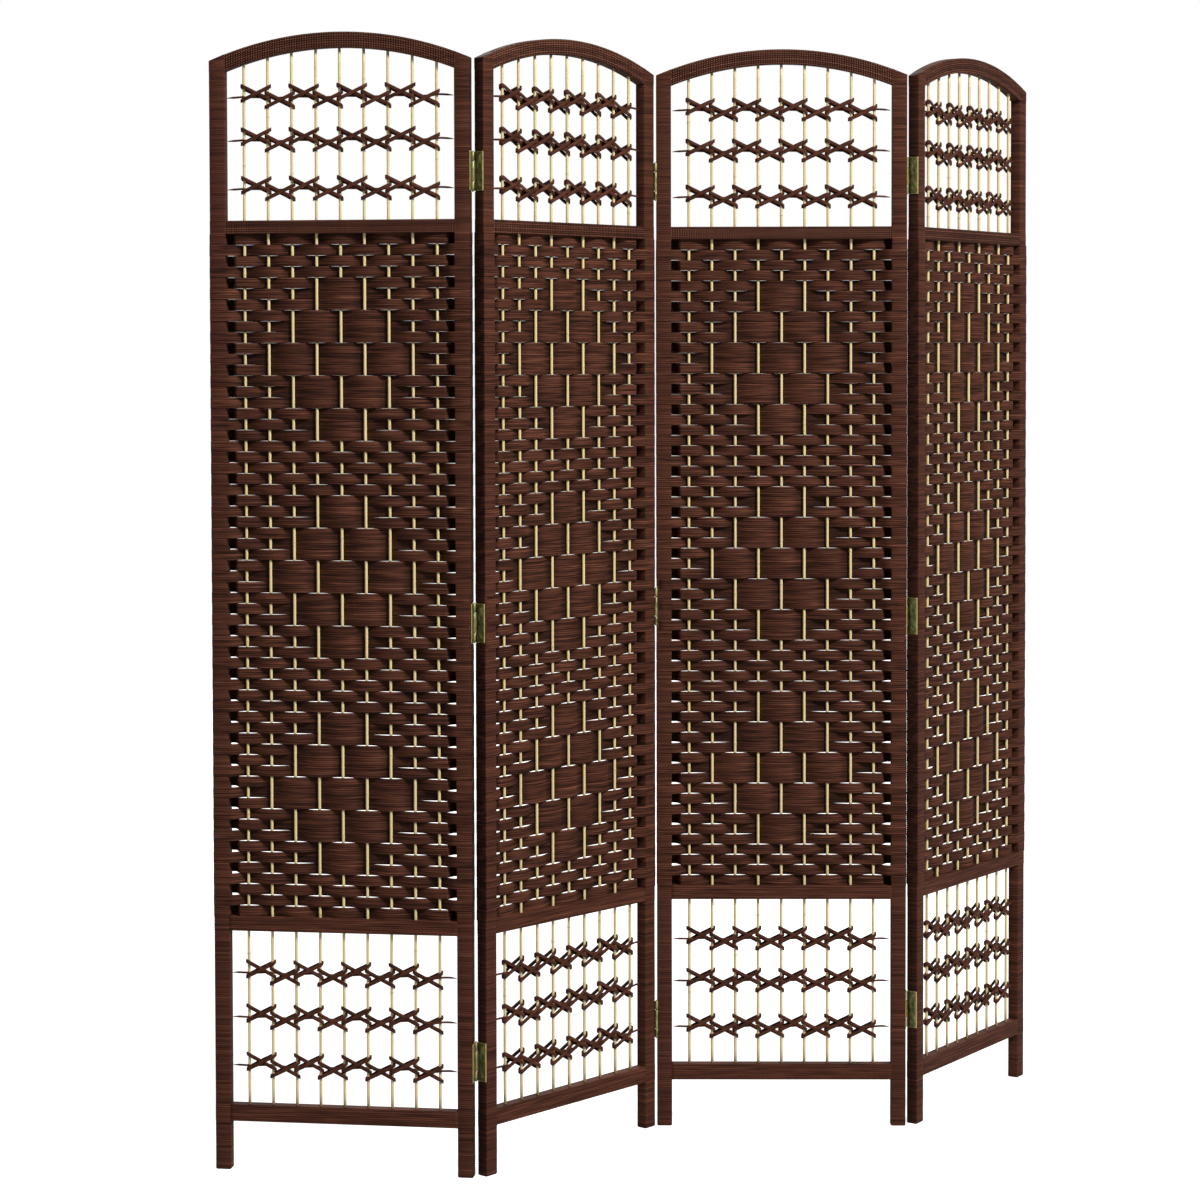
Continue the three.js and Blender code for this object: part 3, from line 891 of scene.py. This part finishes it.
def strip_section():
    """Places across a strip from -1 to 1, with how full the strip is there."""
    places = np.linspace(-1, 1, 2 * CORDS_PER_ROW + 1)
    fullness = np.where(np.arange(len(places)) % 2, 1.0, GROOVE_FULLNESS)
    fullness[[0, -1]] = RIM_FULLNESS
    return places, fullness


def strip_rings(line, z, row):
    """Rings of a strip along field_line's columns, at heights z."""
    x, y, bow, above, below, thickness = line.T
    heading = np.gradient(line[:, :2], axis=0)
    heading /= np.linalg.norm(heading, axis=1)[:, None]
    outward = np.stack([heading[:, 1], -heading[:, 0]], axis=1)
    places, fullness = strip_section()
    free = np.where(places[None, :] > 0, above[:, None], below[:, None])
    half = ROW_HEIGHT / 2 + STRIP_OVERLAP - STRIP_NARROWING * np.abs(bow[:, None]) * free
    half += BEHIND_RAIL * np.where(places > 0, row == 0, row == ROW_COUNT - 1)
    bowed = STRIP_BOW * bow[:, None] * free * places[None, :] ** 2
    rings = np.empty((len(line), 2 * len(places), 3))
    for face, order in ((1, slice(None)), (-1, slice(None, None, -1))):
        out = face * fullness[None, order] * thickness[:, None] / 2 + bowed[:, order]
        part = rings[:, :len(places)] if face == 1 else rings[:, len(places):]
        part[:, :, :2] = line[:, None, :2] + out[:, :, None] * outward[:, None, :]
        part[:, :, 2] = z[:, None] + (half * places[None, :])[:, order]
    return rings


print("points round a strip:", 2 * len(strip_section()[0]))

# %% [markdown]
# A strip that comes to the front of a stile goes round its outer edge and slants down or up there
# to the height of the next row, behind the stile, where the next length of strip begins. A band
# straight round the stile would be simpler, but the slant shows on the edges. Where the middle hinge
# lies on the edge there is no room for a strip, so those end on the stile's face.

# %% Carry the strips round the stiles
STRIP_END_INSET = 3.2
TURN_STEPS = 4
EDGE_STEPS = 6


def row_height(row):
    return MAT_TOP - (row + 0.5) * ROW_HEIGHT


def link_fits(leaf, at_right, row, next_row):
    """Whether no hinge lies on the edge between two rows."""
    low = min(row_height(row), row_height(next_row)) - ROW_HEIGHT / 2
    high = max(row_height(row), row_height(next_row)) + ROW_HEIGHT / 2
    return all(high < base or low > top for base, top in hinge_spans(leaf, at_right))


def link_path(row, next_row):
    """x, y and z from behind a left stile, round its outer edge, to the middle of its front."""
    out = WRAP_LIFT + WRAP_THICKNESS / 2
    angles = np.linspace(0, math.pi / 2, TURN_STEPS)
    corner = np.stack([out - out * np.sin(angles), out - out * np.cos(angles)], axis=1) - out
    edge = np.stack([np.full(EDGE_STEPS, -out), np.linspace(0, THICKNESS, EDGE_STEPS + 2)[1:-1]], axis=1)
    behind = np.stack([corner[::-1, 0], THICKNESS - corner[::-1, 1]], axis=1)
    ends = [[STILE_WIDTH / 2, -out]], [[STILE_WIDTH / 2, THICKNESS + out]]
    path = np.concatenate([ends[0], corner, edge, behind, ends[1]])
    z = row_height(row) + (row_height(next_row) - row_height(row)) * np.clip(path[:, 1] / THICKNESS, 0, 1)
    return np.column_stack([path, z])[::-1]


def strip_end(leaf, at_right, row, side):
    """How a row goes on over or behind the stile, as x, y and z up to the field."""
    next_row = row - 1 if at_right else row + 1
    if side == FRONT and link_fits(leaf, at_right, row, next_row):
        path = link_path(row, next_row)
    else:
        start = STILE_WIDTH / 2 if side == BACK else STRIP_END_INSET
        x = np.array([start, (start + STILE_WIDTH) / 2])
        path = np.column_stack([x, np.full(2, face_of_stile(side)), np.full(2, row_height(row))])
    if at_right:
        path = path[::-1] * (-1, 1, 1) + (LEAF_WIDTH, 0, 0)
    return path


def weave_row(leaf, row):
    """One row of strip with its ends round the stiles."""
    field = field_line(row)
    side = sides_of(row)[0]
    ends = [strip_end(leaf, at_right, row, side) for at_right in (False, True)]
    quiet = [np.column_stack([end[:, :2], np.zeros((len(end), 3)), np.full(len(end), WRAP_THICKNESS)])
             for end in ends]
    line = np.concatenate([quiet[0], field, quiet[1]])
    z = np.concatenate([ends[0][:, 2], np.full(len(field), row_height(row)), ends[1][:, 2]])
    points, faces = skin(strip_rings(line, z, row))
    return points, faces, strip_tones(line[:, 0], line[:, 1])


cut_short = [row for row in range(1, ROW_COUNT, 2) if not link_fits(1, True, row, row - 1)]
print("rows that end on the right stile of leaf 1:", cut_short)

# %% [markdown]
# The tones of a strip come in three parts: its own, one for each of its cords, and painted shade
# in the grooves between them. The side that faces into a dip, behind a cane or behind a stile, is
# painted darker too, as painted shade in the hollow. Leaving that to the lamps alone made the dips
# too light. Where a strip goes round a stile's outer edge it is painted nearly black, as painted
# shade. A leaf's field is made as four bands, which keeps each mesh to a handy size.

# %% Tone the strips and weave
STRIP_TONE_RANGE = 0.3
STRIP_CORD_SPREAD = 0.4
PAINTED_DIP_SHADE = 0.85


def strip_tones(x, y):
    own = (1 - STRIP_TONE_RANGE) + STRIP_TONE_RANGE * dice.random()
    cords = own * (1 - STRIP_CORD_SPREAD * dice.random(CORDS_PER_ROW))
    across = np.full(2 * CORDS_PER_ROW + 1, PAINTED_GROOVE_SHADE)
    across[1::2] = cords
    # Painted shade: the face that turns into a dip behind a cane or a stile is darkened by how deep it lies.
    depth = (y - MIDDLE_Y) / STRIP_SWING
    front_dip_shade = 1 - PAINTED_DIP_SHADE * np.clip(depth, 0, 1)
    back_dip_shade = 1 - PAINTED_DIP_SHADE * np.clip(-depth, 0, 1)
    # Painted shade: where the strip wraps the stile's outer edge, it takes the nearly black edge tone.
    seen = np.where((x < 0) | (x > LEAF_WIDTH), PAINTED_EDGE_SHADE, 1.0)
    faces = [front_dip_shade[:, None] * across, back_dip_shade[:, None] * across[::-1]]
    return (seen[:, None] * np.concatenate(faces, axis=1)).ravel()


BANDS = (("top_weave", 0, 4), ("upper_diamond_weave", 4, 24), ("middle_diamond_weave", 24, 44),
         ("lower_diamond_weave", 44, ROW_COUNT))
for leaf in LEAVES:
    for name, first_row, end_row in BANDS:
        woven = gather([weave_row(leaf, row) for row in range(first_row, end_row)])
        band = on_leaf(name, leaf, strip_look, "woven_mat", woven)
print("faces of the last band:", len(band.data.polygons))

# %% [markdown]
# ## Ties
# In the open lattices, loops of strip lash each cane to the next. Two loops cross in each gap, one
# rising and one falling, and every loop runs round both canes, so its ends stand a little past
# them. The crossings sit high and low in turn. To let two loops cross without touching, one is
# drawn in between the canes and the other stands out. A loop also tilts a little, so its back is
# lower or higher than its front, and its inside is painted nearly black, as painted shade. One X
# laid over each gap would look right from the front, but these are seen through and from behind as well.

# %% Lash the canes
LOWER_ROWS = (59.0, 132.0, 199.0)
UPPER_ROWS = (47.0, 119.0, 183.0)
LOWER_RISE, UPPER_RISE = 9.3, 8.6
TIE_SHIFT = 5.0
TIE_HEIGHT = 6.0
TIE_TILT = 0.4
TIE_TONES = (0.42, 0.58)
PAINTED_INSIDE_SHADE = 0.1
TIE_THICKNESS = 2.3
TIE_ROUNDING = 0.6
TIE_CLEARANCE = 0.5
RUN_STEPS = 9
ROUND_STEPS = 7
CROSSING_OUT = 1.1


def tie_loop(left_cane, middle_z, rise, out):
    """A closed loop round two neighbouring canes, which climbs by twice its rise."""
    reach = CANE_RADIUS + TIE_CLEARANCE + TIE_THICKNESS / 2
    half_gap = CANE_PITCH / 2
    along = np.linspace(-half_gap, half_gap, RUN_STEPS, endpoint=False)
    swell = out * np.cos(math.pi * along / CANE_PITCH) ** 2
    turn = np.linspace(-math.pi / 2, math.pi / 2, ROUND_STEPS, endpoint=False)
    near = np.column_stack([along, -(reach + swell)])
    right = np.column_stack([half_gap + reach * np.cos(turn), reach * np.sin(turn)])
    half = np.concatenate([near, right])
    line = np.concatenate([half, -half])
    heading = np.roll(line, -1, axis=0) - np.roll(line, 1, axis=0)
    heading /= np.linalg.norm(heading, axis=1)[:, None]
    outward = np.stack([heading[:, 1], -heading[:, 0]], axis=1)
    section = rounded_section(TIE_THICKNESS, TIE_HEIGHT, TIE_ROUNDING, 2)
    rings = np.empty((len(line), len(section), 3))
    rings[:, :, :2] = line[:, None, :] + section[None, :, :1] * outward[:, None, :]
    tilt = -TIE_TILT if rise < 0 else TIE_TILT / 2
    rings[:, :, 2] = middle_z + rise * rings[:, :, 0] / half_gap + section[None, :, 1]
    rings[:, :, 2] += tilt * line[:, None, 1]
    rings[:, :, 0] += (cane_x(left_cane) + cane_x(left_cane + 1)) / 2
    rings[:, :, 1] += MIDDLE_Y
    points, faces = skin(rings, closed=True)
    # Painted shade: the inside face of each loop gets the nearly black inside tone.
    tones = np.where(section[:, 0] > 0, dice.uniform(*TIE_TONES), PAINTED_INSIDE_SHADE)
    return points, faces, np.tile(tones, len(line))


def tie_row(height, rise):
    """The crossed loops of one row."""
    loops = []
    for cane in range(1, CANE_COUNT):
        middle_z = height + (TIE_SHIFT if cane % 2 else -TIE_SHIFT)
        loops.append(tie_loop(cane, middle_z, rise, CROSSING_OUT))
        loops.append(tie_loop(cane, middle_z, -rise, -CROSSING_OUT))
    return loops


TIE_ROWS = [(BOTTOM_RAIL_TOP + row, LOWER_RISE) for row in LOWER_ROWS]
TIE_ROWS += [(UPPER_RAIL_TOP + row, UPPER_RISE) for row in UPPER_ROWS]
for leaf in LEAVES:
    ties = gather([loop for height, rise in TIE_ROWS for loop in tie_row(height, rise)])
    on_leaf("ties", leaf, crossed_look, "cane_lattice", ties)
print("points of a leaf's ties:", len(ties[0]))

# %% [markdown]
# A single thin cord runs through each row of ties, in front of one cane and behind the next, and
# ends in a point just short of the stile. A bevelled curve would give the same cord, but as rings it
# can taper to its tips and carry its own tone like everything else here.

# %% Run the cords through the ties
CORD_RADIUS = 1.6
CORD_TIP_GAP = 2.6
CORD_TAPER = 9.0
CORD_DROP = -1.4
CORD_SAG = 0.7
CORD_RIPPLE = 0.6
CORD_FLATNESS = 0.8
CORD_TONES = (0.3, 0.7)
TIP_THICKNESS, TIP_SHARPNESS = 0.15, 0.6
CORD_STATIONS = 110
CORD_SIDES = 8


def tie_cord(height):
    """The cord of one row, thin at its tips, weaving in and out between the canes."""
    start, end = STILE_WIDTH + CORD_TIP_GAP, LEAF_WIDTH - STILE_WIDTH - CORD_TIP_GAP
    x = np.linspace(start, end, CORD_STATIONS)
    from_tip = np.minimum(x - start, end - x)
    inside = np.clip(from_tip / (cane_x(1) - start), 0, 1)
    phase = math.pi * (x - cane_x(1)) / CANE_PITCH
    y = MIDDLE_Y - (CANE_RADIUS + CORD_RADIUS + TIE_CLEARANCE) * np.cos(phase) * inside
    droop = np.exp(-from_tip / CORD_TAPER)
    z = height + CORD_DROP * np.where(inside < 1, droop, CORD_SAG)
    z += CORD_RIPPLE * np.sin(phase) * inside
    radius = CORD_RADIUS * np.clip(from_tip / CORD_TAPER, TIP_THICKNESS, 1) ** TIP_SHARPNESS
    angles = np.linspace(0, 2 * math.pi, CORD_SIDES, endpoint=False)
    rings = np.empty((len(x), CORD_SIDES, 3))
    rings[:, :, 0] = x[:, None]
    rings[:, :, 1] = y[:, None] + CORD_FLATNESS * radius[:, None] * np.cos(angles)
    rings[:, :, 2] = z[:, None] + radius[:, None] * np.sin(angles)
    points, faces = skin(rings)
    return points, faces, np.full(len(points), dice.uniform(*CORD_TONES))


for leaf in LEAVES:
    cords = gather([tie_cord(height) for height, _ in TIE_ROWS])
    on_leaf("tie_cords", leaf, wound_look, "cane_lattice", cords)
print("points of a leaf's tie cords:", len(cords[0]))

# %% [markdown]
# ## Hinges
# Three small butt hinges hold each pair of leaves: a plate with two knuckles, a plate with one long
# knuckle between them, and a pin. They are old brass, olive brown where the metal has tarnished and
# golden where it is rubbed, which is mostly along the rims. Beside the pin and round each screw head
# they are painted dark, as painted shade. Noise alone would put the bright spots anywhere, so the
# plates carry a tone that rises towards their edges, and the noise is added to it.

# %% Make the brass material
BRASS_STEPS = (
    (0.2, (0.050, 0.033, 0.016)),
    (0.4, (0.105, 0.105, 0.040)),
    (0.55, (0.21, 0.215, 0.100)),
    (0.7, (0.34, 0.25, 0.085)),
    (1.0, (0.52, 0.34, 0.110)),
)
BRASS_MIDDLE = 0.45
BRASS_METAL = 0.8
PATINA = (190, 190, 110)
PATINA_DETAIL = 4.0
PATINA_WEIGHT, RUB_WEIGHT = 0.9, 0.6
LEAST_ROUGHNESS, PATINA_ROUGHNESS = 0.3, 0.4
PATINA_RELIEF = 0.0003

brass_look, brass_tree, brass_shader = new_look("antique_brass")
patina = stretched_noise(brass_tree, PATINA, PATINA_DETAIL)
brass_terms = [(attribute(brass_tree, "tone"), RUB_WEIGHT), (patina, PATINA_WEIGHT)]
brass_shade = weighted(brass_tree, BRASS_MIDDLE, brass_terms)
brass_tree.links.new(colour_steps(brass_tree, brass_shade, BRASS_STEPS), brass_shader.inputs["Base Color"])
brass_shader.inputs["Metallic"].default_value = BRASS_METAL
roughness = worked_out(brass_tree, "MULTIPLY_ADD", patina, PATINA_ROUGHNESS, LEAST_ROUGHNESS)
brass_tree.links.new(roughness, brass_shader.inputs["Roughness"])
relief(brass_tree, brass_shader, patina, PATINA_RELIEF)
print(brass_look.name, "has", len(brass_tree.nodes), "nodes")

# %% [markdown]
# Knuckles and pins are turned: a profile of radii and heights goes round an axis, as on a lathe. A
# knuckle has its edges eased, and a pin has a low dome at both ends. Blender's own cylinders would
# need a bevel each and couldn't carry a tone, so these are rings again.

# %% Turn the knuckles and pins
HINGE_HALF = 29.0
KNUCKLE_RADIUS = 2.3
KNUCKLE_SIDES = 24
KNUCKLE_TONE = 0.6
EDGE_EASE = 0.25
PIN_RADIUS = 1.0
PIN_GAP = 0.3
PIN_HEAD_RADIUS = 1.9
PIN_HEAD_PROFILE = ((1.0, 0.0), (1.0, 0.4), (0.8, 0.8), (0.3, 1.0))


def turned(profile, centre=(0, 0, 0), axis="z", tone=KNUCKLE_TONE):
    """A lathe-turned solid from (radius, height) pairs, ends closed."""
    angles = np.linspace(0, 2 * math.pi, KNUCKLE_SIDES, endpoint=False)
    rings = np.array([
        np.column_stack([radius * np.cos(angles), radius * np.sin(angles), np.full(KNUCKLE_SIDES, height)])
        for radius, height in profile
    ])
    if axis == "x":
        rings = rings[:, :, [2, 0, 1]]
    points, faces = skin(rings + np.array(centre))
    return points, faces, np.full(len(points), tone)


def knuckle(low, high):
    """A knuckle from one height to another, round the pin."""
    ends = (KNUCKLE_RADIUS - EDGE_EASE, low), (KNUCKLE_RADIUS - EDGE_EASE, high)
    sides = (KNUCKLE_RADIUS, low + EDGE_EASE), (KNUCKLE_RADIUS, high - EDGE_EASE)
    return turned([ends[0], *sides, ends[1]])


def hinge_pin():
    """A pin with a domed head at both ends, each a small gap away from the knuckles."""
    seat = HINGE_HALF + PIN_GAP
    head = [(PIN_HEAD_RADIUS * radius, seat + out) for radius, out in PIN_HEAD_PROFILE]
    foot = [(radius, -height) for radius, height in reversed(head)]
    return turned([*foot, (PIN_RADIUS, -seat), (PIN_RADIUS, seat), *head])


print("points of a pin:", len(hinge_pin()[0]))

# %% [markdown]
# A screw's head lies in a shallow seat and has a slot across it. Cutting the slot with a boolean
# would leave ragged faces on so small a thing, so a head is two half domes with the slot between
# them. They stand proud by a third of a millimetre at most, since the plates lie face to face when
# two leaves stand in line.

# %% Slot the screw heads
SCREW_RADIUS = 2.3
SCREW_PROFILE = ((1.0, -0.5), (1.0, 0.05), (0.9, 0.08), (0.3, 0.08))
HALF_HEAD_PROFILE = ((0.75, 0.06), (0.7, 0.2), (0.5, 0.3))
SLOT_HALF = 0.35
RUBBED, DULL, SHADED = 0.9, 0.5, 0.0


def half_heads(seat):
    """The two halves of a slotted screw head, on either side of its slot."""
    angles = np.linspace(0, math.pi, KNUCKLE_SIDES // 2)
    for turn in (1, -1):
        rings = np.array([
            np.column_stack([
                np.full(len(angles), out),
                turn * SCREW_RADIUS * radius * np.cos(angles),
                turn * np.maximum(SCREW_RADIUS * radius * np.sin(angles), SLOT_HALF),
            ])
            for radius, out in HALF_HEAD_PROFILE
        ])
        points, faces = skin(rings + np.array(seat))
        yield points, faces, np.full(len(points), RUBBED)


print("points of half a head:", len(next(half_heads((0, 0, 0)))[0]))

# %% [markdown]
# A plate is a thin slab beside the pin, with a narrow web out to each knuckle. It is a stack of
# sections, with the outermost drawn in a little for the eased edges, and with points along the rim
# where its bright line begins. A bevelled box would have the edges but no points for that line.

# %% Cut the plates
PLATE_X = (-1.45, -0.35)
PLATE_Y = (-19.9, -2.7)
WEB_Y = (-3.7, 0.0)
SCREW_HEIGHT = 21.5
RIM_WIDTH = 1.6
SHADED_PART = 0.35


def slab(x_span, y_span, z_span):
    """A flat plate with its edges eased, rubbed bright along its rim, with painted shade beside the pin."""
    near_pin = y_span[1] - SHADED_PART * (y_span[1] - y_span[0])
    y_inner = np.array([y_span[0], y_span[0] + RIM_WIDTH, near_pin, y_span[1]])
    rings, tones = [], []
    for z, ease in ((z_span[0], EDGE_EASE), (z_span[0] + EDGE_EASE, 0), (z_span[0] + RIM_WIDTH, 0),
                    (z_span[1] - RIM_WIDTH, 0), (z_span[1] - EDGE_EASE, 0), (z_span[1], EDGE_EASE)):
        at_rim = min(z - z_span[0], z_span[1] - z) < RIM_WIDTH
        y = np.clip(y_inner, y_span[0] + ease, y_span[1] - ease)
        face = np.column_stack([np.full(4, x_span[1] - ease / 2), y])
        back = np.column_stack([np.full(4, x_span[0] + ease / 2), y[::-1]])
        section = np.concatenate([face, back])
        rings.append(np.column_stack([section, np.full(8, z)]))
        # Painted shade: the row of points beside the pin takes the SHADED tone.
        across = [RUBBED, RUBBED, RUBBED, DULL] if at_rim else [RUBBED, DULL, DULL, SHADED]
        tones.append(across + across[::-1])
    points, faces = skin(np.array(rings))
    return points, faces, np.array(tones).ravel()


def plate(knuckles):
    """A hinge plate on the left of its pin, with knuckles over the given spans."""
    parts = [slab(PLATE_X, PLATE_Y, (-HINGE_HALF, HINGE_HALF))]
    for low, high in knuckles:
        parts.append(slab(PLATE_X, WEB_Y, (low, high)))
        parts.append(knuckle(low, high))
    for height in (-SCREW_HEIGHT, SCREW_HEIGHT):
        seat = (PLATE_X[1], sum(PLATE_Y) / 2, height)
        profile = [(SCREW_RADIUS * radius, out) for radius, out in SCREW_PROFILE]
        # Painted shade: the seat round the screw head takes the SHADED tone.
        parts.append(turned(profile, seat, "x", SHADED))
        parts.extend(half_heads(seat))
    return gather(parts)


print("points of a plate:", len(plate([])[0]))

# %% [markdown]
# The plate with two knuckles is on the left leaf where the pin stands behind the screen, and on the
# right leaf, turned half round, where it stands in front. Each hinge is set at its own pin's place
# in the solids, because the three lines of hinges don't have the same heights.

# %% Hang the leaves
MIDDLE_KNUCKLE_HALF = 14.5
KNUCKLE_GAP = 1.0
OUTER_KNUCKLES = [
    (-HINGE_HALF, -MIDDLE_KNUCKLE_HALF - KNUCKLE_GAP),
    (MIDDLE_KNUCKLE_HALF + KNUCKLE_GAP, HINGE_HALF),
]
INNER_KNUCKLES = [(-MIDDLE_KNUCKLE_HALF, MIDDLE_KNUCKLE_HALF)]
OTHER_SIDE = Matrix.Rotation(math.pi, 4, "Y")
PINS_AT_BACK = {(1, 2): True, (2, 3): False, (3, 4): True}

for (left, right), at_back in PINS_AT_BACK.items():
    outer, inner = (left, right) if at_back else (right, left)
    half_turn = 0 if at_back else math.pi
    for level in HINGE_LEVELS:
        hinge = f"hinge_{left}_{right}_{level}"
        low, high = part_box(f"{hinge}_pin")
        spot = Matrix.Translation((low + high) / 2)
        turns = {leaf: spot @ Matrix.Rotation(TURNS[leaf - 1] + half_turn, 4, "Z") for leaf in (left, right)}
        sides = {left: "left", right: "right"}
        pieces = (
            (f"{sides[outer]}_wing", outer, turns[outer], f"plate_{sides[outer]}", plate(OUTER_KNUCKLES)),
            (f"{sides[inner]}_wing", inner, turns[inner] @ OTHER_SIDE, f"plate_{sides[inner]}",
             plate(INNER_KNUCKLES)),
            ("turned_pin", outer, turns[outer], "pin", hinge_pin()),
        )
        for name, leaf, place, node, part in pieces:
            make_piece(f"{hinge}_{name}", place, f"panel_{leaf}", brass_look,
                       [f"{hinge}_{node}"], part)
print("hinges:", len(HINGE_LEVELS) * len(PINS_AT_BACK))
